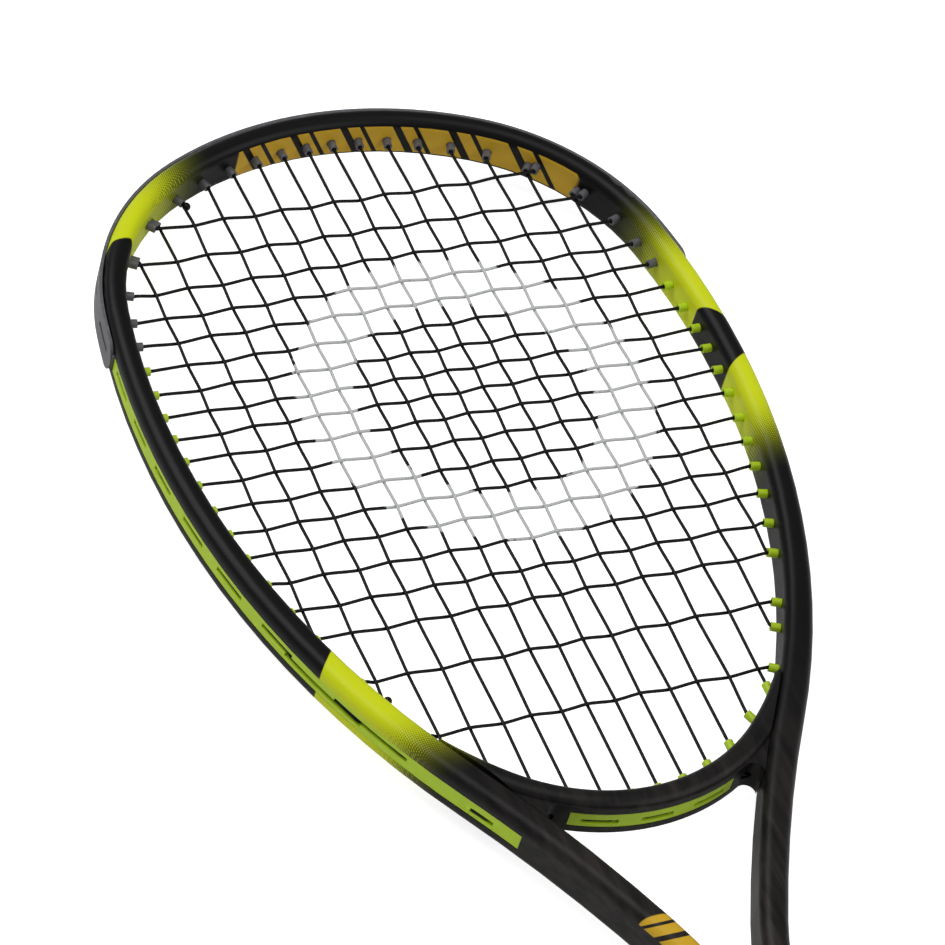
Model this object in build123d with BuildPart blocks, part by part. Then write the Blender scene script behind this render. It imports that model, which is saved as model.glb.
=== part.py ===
from build123d import *
import os
from math import acos, atan2, cos, degrees, pi, radians, sin, sqrt, tan

os.makedirs("parts", exist_ok=True)

# Squash racket lying flat: X across the head, Y from butt to head tip, Z out of the string bed.
# Origin: middle of the length and width, at the height of the lowest point. Millimetres, degrees.

# Overall
LENGTH = 686.0
BUTT_WIDTH = 34.0
BUTT_DEPTH = 31.0
PLANE_Z = BUTT_DEPTH / 2                 # the string plane

# Graphite tube
TUBE_WIDTH = 8.0                         # in the plane of the strings, round the head
TUBE_DEPTH = 17.2
TUBE_EDGE = 3.8                          # rounding of its long edges
LEG_WIDTH = 10.2
SHAFT_WIDTH = 21.2
INNER_WALL = 1.2
CAVITY_DEPTH = 12.4

# Centre line of one side, as a chain of tangent arcs. A heading is 0 at the crown and 90 straight
# down the racket; the leg and neck arcs bend back the other way.
CROWN_RADIUS = 128.0
SHOULDER_RADIUS = 79.0
FLANK_RADIUS = 280.0
LEG_RADIUS = 520.0
CROWN_HEADING = 26.0
SHOULDER_HEADING = 79.5
WIDEST_HEADING = 90.0                    # the flank is drawn as two arcs that meet where it is widest
FLANK_HEADING = 123.5
LEG_HEADING = 114.5
FORK_GAP = 0.8                           # between the two legs where they become the shaft
FORK_RADIUS = 3.5                        # half the width of the throat at its closed end

# Throat bridge
BRIDGE_DROP = 296.4                      # crown centre line to bridge centre line
BRIDGE_RADIUS = 70.0
BRIDGE_SIDE_RADIUS = 130.0
BRIDGE_TURN = 40.0                       # half angle of the middle arc
BRIDGE_SIDE_TURN = 51.0                  # where the bridge has thinned out against the leg
BRIDGE_DEPTH = 16.0
WEB_DEPTH = 12.0
WEB_RADIUS = 3.4
BOND = 0.1                               # adhesive between bridge and legs

# Outer channel with the bumper guard and the grommet strips
CHANNEL = 2.2
CHANNEL_HEIGHT = 6.6
SEAT = 0.15                              # clearance between plastic and graphite
BUMPER_PROUD = 1.2
BUMPER_HEIGHT = 12.0
BUMPER_END = 86.0                        # bumper end below the crown centre line
STRIP_END = 299.5                        # strip end below the crown centre line
STRIP_GAP = 0.4
BRIDGE_STRIP_WIDTH = 57.6
BARREL = 3.0
BARREL_PROUD = 3.2
BORE = 1.8
HOLE = BARREL + 2 * SEAT

# Strings
STRING = 1.2
LEVEL = 0.62                             # mains lie this far below, crosses above, the string plane
RUN_DEPTH = 1.0                          # outer runs below the face of the strips
SLOT = 1.8
LEVEL_ROOM = 1.15                        # a slot's extra height where its run changes level, per rise
MAIN_FIRST = 4.7
MAIN_GAP = 9.4
MAIN_SPREAD = 0.22                       # each gap grows by twice this towards the sides
MAINS_PER_SIDE = 8
MAIN_LEAN = 22.0                         # outward lean of the low hole of each fifth main
CROSS_FIRST = 32.0                       # crown centre line to the first cross
CROSS_GAPS = (14.7, 13.1, 11.6, 10.2, 10.8, 10.4, 9.9, 9.3, 9.9,
              10.3, 11.1, 10.4, 10.7, 11.6, 12.2, 12.2, 19.4, 24.8)
KNOT = 3.2

# Handle
HANDLE_LENGTH = 185.0
GRIP_WIDTH = 30.0
GRIP_DEPTH = 27.0
GRIP_THICKNESS = 1.8
HANDLE_BEVEL = 6.0
CAP_LENGTH = 14.0
CAP_END = 3.0
CAP_ROUNDING = 4.0
TAPE_LENGTH = 14.0
TAPE_THICKNESS = 0.4
COLLAR_LENGTH = 16.0
COLLAR_WALL = 1.0
BADGE = 17.0
BADGE_THICKNESS = 1.0
STAPLE_CROWN = 9.0
STAPLE_WIRE = 0.8
STAPLE_LEG = 4.0

HALF = TUBE_WIDTH / 2
BUTT_Y = -LENGTH / 2
CROWN_Y = LENGTH / 2 - BUMPER_PROUD - HALF
BRIDGE_Y = CROWN_Y - BRIDGE_DROP
HANDLE_TOP = BUTT_Y + HANDLE_LENGTH
MAIN_X = [MAIN_FIRST + MAIN_GAP * i + MAIN_SPREAD * i * i for i in range(MAINS_PER_SIDE)]
CROSS_Y = [CROWN_Y - CROSS_FIRST - sum(CROSS_GAPS[:i]) for i in range(len(CROSS_GAPS) + 1)]


def toward(heading):
    """Unit vector from an arc's centre to the tube at a heading."""
    return Vector(sin(radians(heading)), cos(radians(heading)))


def side_arcs(offset, x_end=None):
    """Centre, radius, first and last heading of the arcs of one edge of the tube's right side.

    The offset is from the centre line of the tube, outwards; the leg's edges spread to its width."""
    spread = (LEG_WIDTH - TUBE_WIDTH) / 2 / (1 - cos(radians(FLANK_HEADING - SHOULDER_HEADING)))
    spread *= 1 if offset > 0 else -1 if offset < 0 else 0
    crown = Vector(0, CROWN_Y - CROWN_RADIUS)
    shoulder = crown + toward(CROWN_HEADING) * (CROWN_RADIUS - SHOULDER_RADIUS)
    flank_radius = FLANK_RADIUS + offset + spread
    flank = shoulder + toward(SHOULDER_HEADING) * (SHOULDER_RADIUS + offset - flank_radius)
    arcs = [(crown, CROWN_RADIUS + offset, 0, CROWN_HEADING),
            (shoulder, SHOULDER_RADIUS + offset, CROWN_HEADING, SHOULDER_HEADING),
            (flank, flank_radius, SHOULDER_HEADING, WIDEST_HEADING),
            (flank, flank_radius, WIDEST_HEADING, FLANK_HEADING)]
    leg_start = flank + toward(FLANK_HEADING) * flank_radius
    leg_radius = LEG_RADIUS - offset
    leg = leg_start + toward(FLANK_HEADING) * leg_radius
    arcs.append((leg, -leg_radius, FLANK_HEADING, LEG_HEADING))
    if x_end is not None:
        neck_start = leg - toward(LEG_HEADING) * leg_radius
        neck_radius = (neck_start.X - x_end) / (1 - sin(radians(LEG_HEADING)))
        neck = neck_start + toward(LEG_HEADING) * neck_radius
        arcs.append((neck, -neck_radius, LEG_HEADING, 90))
    return arcs


def draw_arcs(arcs):
    """Draw a chain of arcs in the open line context; a negative radius bends back."""
    for centre, radius, first, last in arcs:
        turn = 90 if radius > 0 else 270
        CenterArc(centre, abs(radius), turn - first, first - last)


def outer_outline(offset, x_end):
    """Everything inside one outer edge of the frame, from the crown down to the butt."""
    arcs = side_arcs(offset, x_end)
    neck, radius = arcs[-1][0], abs(arcs[-1][1])
    foot = BUTT_Y + CAP_END + SEAT
    with BuildSketch() as outline:
        with BuildLine():
            draw_arcs(arcs)
            Line((neck.X - radius, neck.Y), (x_end, foot))
            mirror(about=Plane.YZ)
            Line((x_end, foot), (-x_end, foot))
        make_face()
    return outline.sketch


def inner_outline(offset):
    """Everything inside an inner edge of the frame: head and throat together."""
    arcs = side_arcs(offset, FORK_GAP / 2 + HALF - abs(offset))
    neck, radius = arcs[-1][0], abs(arcs[-1][1])
    stop = degrees(acos((neck.X - FORK_RADIUS) / radius))
    arcs[-1] = (neck, -radius, LEG_HEADING, 90 + stop)
    end = neck - toward(90 + stop) * radius
    fork_radius = end.X / cos(radians(stop))
    with BuildSketch() as outline:
        with BuildLine():
            draw_arcs(arcs)
            mirror(about=Plane.YZ)
            CenterArc((0, end.Y + fork_radius * sin(radians(stop))), fork_radius, -stop, 2 * stop - 180)
        make_face()
    return outline.sketch


def bridge_arcs(offset):
    """The bridge's arcs on the right side, by angle from straight down; offset is outwards."""
    middle = Vector(0, BRIDGE_Y + BRIDGE_RADIUS)
    down = Vector(sin(radians(BRIDGE_TURN)), -cos(radians(BRIDGE_TURN)))
    side = middle + down * (BRIDGE_RADIUS - BRIDGE_SIDE_RADIUS)
    return [(middle, BRIDGE_RADIUS + offset, 0, BRIDGE_TURN),
            (side, BRIDGE_SIDE_RADIUS + offset, BRIDGE_TURN, BRIDGE_SIDE_TURN)]


def on_frame(offset, x=None, y=None, low=False):
    """Point of a tube edge at a given x or y on the right side, with its outward normal."""
    for centre, radius, first, last in side_arcs(offset)[:4]:
        across = x - centre.X if y is None else y - centre.Y
        if abs(across) >= radius:
            continue
        along = sqrt(radius * radius - across * across)
        if y is None:
            point = Vector(x, centre.Y - along if low else centre.Y + along)
        else:
            point = Vector(centre.X + along, y)
        normal = (point - centre).normalized()
        heading = degrees(atan2(normal.X, normal.Y))
        if first - 1e-6 <= heading <= last + 1e-6:
            return point, normal
    return None


def on_bridge(offset, x=None, y=None):
    """Point of a bridge edge at a given x or y on the right side, with its outward normal."""
    for centre, radius, first, last in bridge_arcs(offset):
        across = x - centre.X if y is None else y - centre.Y
        if abs(across) >= radius:
            continue
        along = sqrt(radius * radius - across * across)
        point = Vector(x, centre.Y - along) if y is None else Vector(centre.X + along, y)
        normal = (point - centre).normalized()
        angle = degrees(atan2(normal.X, -normal.Y))
        if first - 1e-6 <= angle <= last + 1e-6:
            return point, normal
    return None


def outer_reach(point, direction):
    """Distance along a direction from a point inside the right side to the tube's outer face."""
    for centre, radius, first, last in side_arcs(HALF):
        bend = 1 if radius > 0 else -1
        across = (point - centre).dot(direction)
        root = across * across - (point - centre).length ** 2 + radius * radius
        if root < 0:
            continue
        distance = bend * sqrt(root) - across
        normal = (point + direction * distance - centre) * bend
        heading = degrees(atan2(normal.X, normal.Y))
        if distance > 0 and min(first, last) <= heading <= max(first, last):
            return distance
    return None


TIP_OFFSET = -HALF - BARREL_PROUD        # where the barrels end inside the head


def string_end(x=None, y=None, low=False):
    """Barrel tip, barrel direction and barrel length of a string's end on the right side."""
    found = on_frame(TIP_OFFSET, x, y, low)
    joint = on_bridge(TIP_OFFSET, x, y) if low else None
    if joint and (found is None or (y is None and joint[0].Y > found[0].Y)
                  or (x is None and joint[0].X < found[0].X)):
        found = joint
    tip, normal = found
    if low and y is None and x < MAIN_X[-2]:
        lean = radians(MAIN_LEAN if x == MAIN_X[4] else 0)
        normal = Vector(sin(lean), -cos(lean))
    if low and y is None and x < MAIN_X[4]:
        return tip, normal, tip.Y - on_bridge(HALF, x)[0].Y
    return tip, normal, outer_reach(tip, normal)


LOWEST_CROSSES = 4                       # these may end on the bridge's side arcs
main_top = [string_end(x=x) for x in MAIN_X]
main_low = [string_end(x=x, low=True) for x in MAIN_X]
cross_end = [string_end(y=y, low=i >= len(CROSS_Y) - LOWEST_CROSSES) for i, y in enumerate(CROSS_Y)]


def mirrored(end, side):
    """The same string end on the left when side is -1."""
    tip, normal, length = end
    return Vector(tip.X * side, tip.Y), Vector(normal.X * side, normal.Y), length


def end_plane(end, side, level):
    """Plane at a barrel's tip, looking outwards through the tube."""
    tip, normal, _ = mirrored(end, side)
    return Plane(origin=(tip.X, tip.Y, PLANE_Z + level), z_dir=(normal.X, normal.Y, 0))


class StringHole:
    """One hole through the tube: its plane at the barrel tip and the length to the outer face."""

    def __init__(self, end, side, level):
        self.plane = end_plane(end, side, level)
        self.length = end[2]
        self.top = self.plane.origin.Y > CROWN_Y - BUMPER_END


side_holes = {1: [], -1: []}
bumper_holes = []
bridge_holes = []
corner_holes = []
for side in (1, -1):
    for end in main_top:
        bumper_holes.append(StringHole(end, side, -LEVEL))
    for number, end in enumerate(main_low):
        group = bridge_holes if number < 3 else corner_holes if number == 3 else side_holes[side]
        group.append(StringHole(end, side, -LEVEL))
    for end in cross_end:
        hole = StringHole(end, side, LEVEL)
        (bumper_holes if hole.top else side_holes[side]).append(hole)


def drill(holes, diameter):
    """Cut round holes along the barrels, right through the open part."""
    with Locations(*[hole.plane.offset(-BARREL) for hole in holes]):
        Cylinder(diameter / 2, max(hole.length for hole in holes) + 2 * BARREL,
                 align=(Align.CENTER, Align.CENTER, Align.MIN), mode=Mode.SUBTRACT)


def barrels(holes):
    """The barrels of a strip as two parts, for the crosses and for the mains."""
    parts = []
    for level in (LEVEL, -LEVEL):
        with BuildPart() as tubes:
            for hole in holes:
                if abs(hole.plane.origin.Z - PLANE_Z - level) < LEVEL:
                    with Locations(hole.plane):
                        Cylinder(BARREL / 2, hole.length - CHANNEL / 2,
                                 align=(Align.CENTER, Align.CENTER, Align.MIN))
        if tubes.part:
            parts.append(tubes.part)
    return parts


# Frame: one hollow graphite moulding, head, legs and shaft
outer_face = outer_outline(HALF, SHAFT_WIDTH / 2)
inner_face = inner_outline(-HALF)
with BuildPart() as front_half:
    with BuildSketch(Plane.XY.offset(PLANE_Z)):
        add(outer_face)
        add(inner_face, mode=Mode.SUBTRACT)
    extrude(amount=TUBE_DEPTH / 2)
    fillet(front_half.faces().sort_by(Axis.Z)[-1].edges(), TUBE_EDGE)
with BuildPart() as envelope:
    add(front_half.part)
    mirror(about=Plane.XY.offset(PLANE_Z))

channel_floor = outer_outline(HALF - CHANNEL, SHAFT_WIDTH / 2 - CHANNEL)
cavity_outside = outer_outline(HALF - CHANNEL - INNER_WALL, SHAFT_WIDTH / 2 - CHANNEL - INNER_WALL)
cavity_inside = inner_outline(-HALF + INNER_WALL)
strip_y = CROWN_Y - STRIP_END
bumper_y = CROWN_Y - BUMPER_END


def channel_band(face, floor, y_low, y_high):
    """Flat band between two outlines of the frame, limited in Y."""
    with BuildSketch() as band:
        add(face)
        add(floor, mode=Mode.SUBTRACT)
        with Locations((0, (y_low + y_high) / 2)):
            Rectangle(LENGTH, y_high - y_low, mode=Mode.INTERSECT)
    return band.sketch


with BuildPart() as frame:
    add(envelope.part)
    with BuildSketch(Plane.XY.offset(PLANE_Z - CAVITY_DEPTH / 2)):
        add(cavity_outside)
        add(cavity_inside, mode=Mode.SUBTRACT)
    extrude(amount=CAVITY_DEPTH, mode=Mode.SUBTRACT)
    with BuildSketch(Plane.XY.offset(PLANE_Z - CHANNEL_HEIGHT / 2)):
        add(channel_band(outer_outline(HALF + CHANNEL, SHAFT_WIDTH / 2 + CHANNEL), channel_floor,
                         strip_y, CROWN_Y + LENGTH))
    extrude(amount=CHANNEL_HEIGHT, mode=Mode.SUBTRACT)
    for holes in (bumper_holes, side_holes[1], side_holes[-1], corner_holes):
        drill(holes, HOLE)
frame.part.label = "frame"
export_step(frame.part, "parts/frame.step")

# Throat bridge: a bowed tube bonded between the legs, with a web in each corner of the throat
with BuildSketch() as below_bridge:
    add(inner_face)
    with Locations((0, BRIDGE_Y + BRIDGE_RADIUS)):
        Circle(BRIDGE_RADIUS + HALF, mode=Mode.SUBTRACT)
    with Locations((0, BRIDGE_Y - LENGTH / 2)):
        Rectangle(LENGTH, LENGTH + BRIDGE_RADIUS, mode=Mode.INTERSECT)
    fillet(below_bridge.vertices().group_by(Axis.Y)[-1], WEB_RADIUS)
throat = below_bridge.sketch


def bridge_band(outer, inner, half_width):
    """Flat ring sector of the bridge between two offsets from its centre line."""
    with BuildSketch() as band:
        with Locations((0, BRIDGE_Y + BRIDGE_RADIUS)):
            Circle(BRIDGE_RADIUS + outer)
            Circle(BRIDGE_RADIUS + inner, mode=Mode.SUBTRACT)
        with Locations((0, BRIDGE_Y)):
            Rectangle(2 * half_width, BRIDGE_RADIUS, mode=Mode.INTERSECT)
    return band.sketch


with BuildPart() as throat_bridge:
    for side in (1, -1):
        for centre, radius, first, last in bridge_arcs(0):
            axis = Axis((centre.X * side, centre.Y, PLANE_Z), (0, 0, 1))
            start = Vector(sin(radians(first)) * side, -cos(radians(first)))
            rim = Plane(origin=(centre.X * side + start.X * radius, centre.Y + start.Y * radius,
                                PLANE_Z), x_dir=(start.X, start.Y, 0), z_dir=(-start.Y, start.X, 0))
            with BuildSketch(rim):
                RectangleRounded(TUBE_WIDTH, BRIDGE_DEPTH, TUBE_EDGE)
            revolve(axis=axis, revolution_arc=(last - first) * side)
    with BuildSketch(Plane.XY.offset(PLANE_Z - WEB_DEPTH / 2)):
        add(inner_face)
        with Locations((0, BRIDGE_Y + BRIDGE_RADIUS)):
            Circle(BRIDGE_RADIUS, mode=Mode.SUBTRACT)
        with Locations((0, BRIDGE_Y - LENGTH / 2)):
            Rectangle(LENGTH, LENGTH + BRIDGE_RADIUS, mode=Mode.INTERSECT)
        add(throat, mode=Mode.SUBTRACT)
    extrude(amount=WEB_DEPTH)
    with BuildSketch(Plane.XY.offset(PLANE_Z - TUBE_DEPTH / 2)):
        add(inner_outline(-HALF - BOND))
    extrude(amount=TUBE_DEPTH, mode=Mode.INTERSECT)
    with BuildSketch(Plane.XY.offset(PLANE_Z - CHANNEL_HEIGHT / 2)):
        add(bridge_band(HALF + CHANNEL, HALF - CHANNEL, BRIDGE_STRIP_WIDTH / 2 + SEAT))
    extrude(amount=CHANNEL_HEIGHT, mode=Mode.SUBTRACT)
    for holes in (bridge_holes, corner_holes, side_holes[1], side_holes[-1]):
        drill(holes, HOLE)
    for hole in corner_holes:
        with Locations(hole.plane.offset(hole.length - KNOT)):
            Cylinder(KNOT / 2 + SEAT, 2 * KNOT, mode=Mode.SUBTRACT,
                     align=(Align.CENTER, Align.CENTER, Align.MIN))
throat_bridge.part.label = "throat_bridge"
export_step(throat_bridge.part, "parts/throat_bridge.step")


def side_half(side):
    """Flat half plane on one side of the racket."""
    with BuildSketch() as half:
        with Locations((side * LENGTH / 2, 0)):
            Rectangle(LENGTH, 2 * LENGTH)
    return half.sketch


def cross_hole(number, side):
    """The hole of a cross, numbered from the crown."""
    return StringHole(cross_end[number], side, LEVEL)


def main_hole(number, side, low):
    """The hole of a main, numbered from the middle outwards."""
    return StringHole((main_low if low else main_top)[number], side, -LEVEL)


# Outer runs, each between two neighbouring holes: the mains turn at the top and at the throat, and the
# crosses turn at the sides. The last left main goes on to the first cross.
LAST_CROSS = len(CROSS_Y) - 1
top_runs = [(main_hole(i, s, False), main_hole(i + 1, s, False))
            for i, s in ((0, -1), (0, 1), (2, -1), (2, 1), (5, -1), (4, 1), (6, 1))]
low_runs = [(main_hole(i, s, True), main_hole(i + 1, s, True)) for i, s in ((4, -1), (6, -1), (5, 1))]
bridge_runs = [(main_hole(0, -1, True), main_hole(0, 1, True))]
bridge_runs += [(main_hole(1, s, True), main_hole(2, s, True)) for s in (1, -1)]
cross_runs = [(cross_hole(i, 1), cross_hole(i + 1, 1)) for i in range(0, LAST_CROSS, 2)]
cross_runs += [(cross_hole(i, -1), cross_hole(i + 1, -1)) for i in range(1, LAST_CROSS, 2)]
link_runs = [(main_hole(7, -1, False), cross_hole(0, -1)),
             (cross_hole(LAST_CROSS, 1), main_hole(7, 1, True))]


def run_slots(holes):
    """The slots, right through a strip, of all the runs that start or end at some of the holes."""
    places = [hole.plane.origin for hole in holes]
    reach = CHANNEL + BUMPER_PROUD + SLOT
    with BuildPart() as slots:
        for run in top_runs + low_runs + bridge_runs + cross_runs + link_runs:
            if any(hole.plane.origin in places for hole in run):
                first, last = [hole.plane.origin + hole.plane.z_dir * (hole.length - CHANNEL + reach / 2)
                               for hole in run]
                along = last - first
                middle = Plane(origin=(first + last) / 2, x_dir=(along.X, along.Y, 0), z_dir=(0, 0, 1))
                with Locations(middle):
                    Box(along.length + SLOT, reach, SLOT + LEVEL_ROOM * abs(along.Z))
    return slots.part


# Bumper guard: a nylon rim over the crown with the grey barrels of the top strings
bumper_slots = run_slots(bumper_holes)
bumper_barrels = barrels(bumper_holes)
with BuildPart() as bumper_guard:
    with BuildSketch(Plane.XY.offset(PLANE_Z - BUMPER_HEIGHT / 2)):
        add(channel_band(outer_outline(HALF + BUMPER_PROUD, SHAFT_WIDTH / 2),
                         outer_outline(HALF + SEAT, SHAFT_WIDTH / 2 - SEAT),
                         bumper_y, CROWN_Y + LENGTH))
    extrude(amount=BUMPER_HEIGHT)
    with BuildSketch(Plane.YZ):
        with Locations((bumper_y + LENGTH / 2, PLANE_Z)):
            RectangleRounded(LENGTH, BUMPER_HEIGHT + SEAT, BUMPER_HEIGHT / 2)
    extrude(amount=LENGTH, both=True, mode=Mode.INTERSECT)
    with BuildSketch(Plane.XY.offset(PLANE_Z - CHANNEL_HEIGHT / 2 + SEAT)):
        add(channel_band(outer_outline(HALF + BUMPER_PROUD / 2, SHAFT_WIDTH / 2),
                         outer_outline(HALF - CHANNEL + SEAT, SHAFT_WIDTH / 2 - CHANNEL),
                         bumper_y, CROWN_Y + LENGTH))
    extrude(amount=CHANNEL_HEIGHT - 2 * SEAT)
    for tubes in bumper_barrels:
        add(tubes)
    add(bumper_slots, mode=Mode.SUBTRACT)
    drill(bumper_holes, BORE)
bumper_guard.part.label = "bumper_guard"
export_step(bumper_guard.part, "parts/bumper_guard.step")

# Side strips: lime nylon strips down both outer walls, with a barrel for every string end
for side, name in ((-1, "left_grommet_strip"), (1, "right_grommet_strip")):
    strip_slots = run_slots(side_holes[side])
    strip_barrels = barrels(side_holes[side])
    with BuildPart() as side_strip:
        with BuildSketch(Plane.XY.offset(PLANE_Z - CHANNEL_HEIGHT / 2 + SEAT)):
            add(channel_band(outer_outline(HALF - SEAT, SHAFT_WIDTH / 2 - SEAT),
                             outer_outline(HALF - CHANNEL + SEAT, SHAFT_WIDTH / 2 - CHANNEL + SEAT),
                             strip_y + SEAT, bumper_y - STRIP_GAP))
            add(side_half(side), mode=Mode.INTERSECT)
        extrude(amount=CHANNEL_HEIGHT - 2 * SEAT)
        for tubes in strip_barrels:
            add(tubes)
        add(strip_slots, mode=Mode.SUBTRACT)
        drill(side_holes[side], BORE)
    side_strip.part.label = name
    export_step(side_strip.part, f"parts/{name}.step")

# Bridge strip: the short strip under the bridge, and a loose grommet in each corner of the throat
bridge_slots = run_slots(bridge_holes)
bridge_barrels = barrels(bridge_holes)
with BuildPart() as bridge_grommet_strip:
    with BuildSketch(Plane.XY.offset(PLANE_Z - CHANNEL_HEIGHT / 2 + SEAT)):
        add(bridge_band(HALF - SEAT, HALF - CHANNEL + SEAT, BRIDGE_STRIP_WIDTH / 2))
    extrude(amount=CHANNEL_HEIGHT - 2 * SEAT)
    for tubes in bridge_barrels:
        add(tubes)
    add(bridge_slots, mode=Mode.SUBTRACT)
    drill(bridge_holes, BORE)
bridge_grommet_strip.part.label = "bridge_grommet_strip"
export_step(bridge_grommet_strip.part, "parts/bridge_grommet_strip.step")

with BuildPart() as corner_grommets:
    for hole in corner_holes:
        with Locations(hole.plane):
            Cylinder(BARREL / 2, hole.length - KNOT - SEAT,
                     align=(Align.CENTER, Align.CENTER, Align.MIN))
            Cylinder(BORE / 2, hole.length, mode=Mode.SUBTRACT,
                     align=(Align.CENTER, Align.CENTER, Align.MIN))
corner_grommets.part.label = "corner_grommets"
export_step(corner_grommets.part, "parts/corner_grommets.step")

# Strings: two lengths. The centre string makes the eight middle mains and is knotted in both corners of
# the throat. The outer string makes the four left mains, then every cross from the crown down, and then
# the four right mains.
STRAIGHT_TURN = 1.5                      # a smaller turn at a barrel's tip is left out
TIP_REACH = 1.0                          # from a corner of the route to the start of its arc
RUN_REACH = 1.5
LINK_CHANGE = (245.0, 238.0)             # the last link changes level between these depths


def hole_points(hole):
    """The route's points at a hole: the barrel tip and the middle of the outer run."""
    return hole.plane.origin, hole.plane.origin + hole.plane.z_dir * (hole.length - RUN_DEPTH)


def pass_points(first, last):
    """One straight pass over the bed, from hole to hole, without corners that hardly turn."""
    start_tip, start_run = hole_points(first)
    end_tip, end_run = hole_points(last)
    bed = end_tip - start_tip
    points = [start_run]
    if bed.get_angle(-first.plane.z_dir) > STRAIGHT_TURN:
        points.append(start_tip)
    if bed.get_angle(last.plane.z_dir) > STRAIGHT_TURN:
        points.append(end_tip)
    return points + [end_run]


def string_route(passes):
    """All the points of a string, pass after pass."""
    return [point for first, last in passes for point in pass_points(first, last)]


def corner_radii(points):
    """An arc for each corner of a route: small where it enters a hole, as large as the run allows."""
    radii = []
    for before, here, after in zip(points, points[1:], points[2:]):
        turn = (here - before).get_angle(after - here)
        reach = RUN_REACH if turn > 60 else TIP_REACH
        radii.append(reach / tan(radians(turn / 2)))
    return radii


def main_pass(number, side, upwards):
    """The two holes of a main, in the order in which the string passes them."""
    low, top = main_hole(number, side, True), main_hole(number, side, False)
    return (low, top) if upwards else (top, low)


centre_passes = [main_pass(3 - i, -1, i % 2 == 0) for i in range(4)]
centre_passes += [main_pass(i, 1, i % 2 == 0) for i in range(4)]
left_passes = [main_pass(4 + i, -1, i % 2 == 1) for i in range(4)]
cross_passes = [(cross_hole(i, -1), cross_hole(i, 1)) if i % 2 == 0 else
                (cross_hole(i, 1), cross_hole(i, -1)) for i in range(LAST_CROSS + 1)]
right_passes = [main_pass(7 - i, 1, i % 2 == 0) for i in range(4)]

centre_route = string_route(centre_passes)
link = []
for depth, level in zip(LINK_CHANGE, (LEVEL, -LEVEL)):
    point, _ = on_frame(HALF - RUN_DEPTH, y=CROWN_Y - depth)
    link.append(Vector(point.X, point.Y, PLANE_Z + level))
outer_route = string_route(left_passes + cross_passes) + link + string_route(right_passes)

outer_knots = [hole.plane.origin - hole.plane.z_dir * KNOT / 2
               for hole in (main_hole(5, -1, False), main_hole(6, -1, True))]
for name, route, knots in (("centre_string", centre_route, (centre_route[0], centre_route[-1])),
                           ("outer_string", outer_route, outer_knots)):
    with BuildPart() as string:
        with BuildLine() as path:
            FilletPolyline(*route, radius=corner_radii(route))
        wire = path.wire()
        with BuildSketch(Plane(origin=wire @ 0, z_dir=wire % 0)):
            Circle(STRING / 2)
        sweep(path=wire)
        swept = string.part.volume
        with Locations(*knots):
            Sphere(KNOT / 2 - SEAT)
    print(name, "length", round(wire.length), "volume over section times length",
          round(swept / (wire.length * pi * STRING ** 2 / 4), 4))
    string.part.label = name
    export_step(string.part, f"parts/{name}.step")

# Handle: two foamed shells bonded round the shaft, with a stapled butt cap and a wrapped grip
shell_width = GRIP_WIDTH - 2 * GRIP_THICKNESS
shell_depth = GRIP_DEPTH - 2 * GRIP_THICKNESS
shell_foot = BUTT_Y + CAP_END + SEAT


def cross_plane(y):
    """Plane across the handle at a given y, looking towards the head."""
    return Plane(origin=(0, y, PLANE_Z), x_dir=(1, 0, 0), z_dir=(0, 1, 0))


def bevelled(width, depth, grow=0.0):
    """Eight-sided handle section, grown evenly."""
    with BuildSketch() as section:
        Rectangle(width, depth)
        chamfer(section.vertices(), HANDLE_BEVEL)
        if grow:
            offset(amount=grow, kind=Kind.INTERSECTION)
    return section.sketch


staple_level = shell_depth / 2 + CAP_END - STAPLE_WIRE
staple_y = BUTT_Y + CAP_LENGTH / 2 + CAP_END


def staple(side, clearance=0.0):
    """One staple over the front or back of the cap, as crown and legs, added or cut with clearance."""
    wire = STAPLE_WIRE + 2 * clearance
    mode = Mode.SUBTRACT if clearance else Mode.ADD
    z = PLANE_Z + side * (staple_level + STAPLE_WIRE / 2)
    with Locations((0, staple_y, z)):
        Box(STAPLE_CROWN + 2 * clearance, wire, wire, mode=mode)
    with Locations(*[(x, staple_y, z - side * STAPLE_LEG / 2) for x in
                     ((STAPLE_CROWN - STAPLE_WIRE) / 2, (STAPLE_WIRE - STAPLE_CROWN) / 2)]):
        Box(wire, wire, STAPLE_LEG + STAPLE_WIRE + 2 * clearance, mode=mode)


PIN_CLEARANCE = 0.05
for side, name in ((1, "handle_shell_front"), (-1, "handle_shell_back")):
    with BuildPart() as shell:
        with BuildSketch(cross_plane(shell_foot)):
            add(bevelled(shell_width, shell_depth))
            RectangleRounded(SHAFT_WIDTH + 2 * SEAT, TUBE_DEPTH + 2 * SEAT, TUBE_EDGE,
                             mode=Mode.SUBTRACT)
            with Locations((0, side * GRIP_DEPTH / 2)):
                Rectangle(2 * GRIP_WIDTH, GRIP_DEPTH, mode=Mode.SUBTRACT)
        extrude(amount=HANDLE_TOP - shell_foot)
        staple(side, PIN_CLEARANCE)
    shell.part.label = name
    export_step(shell.part, f"parts/{name}.step")

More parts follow.
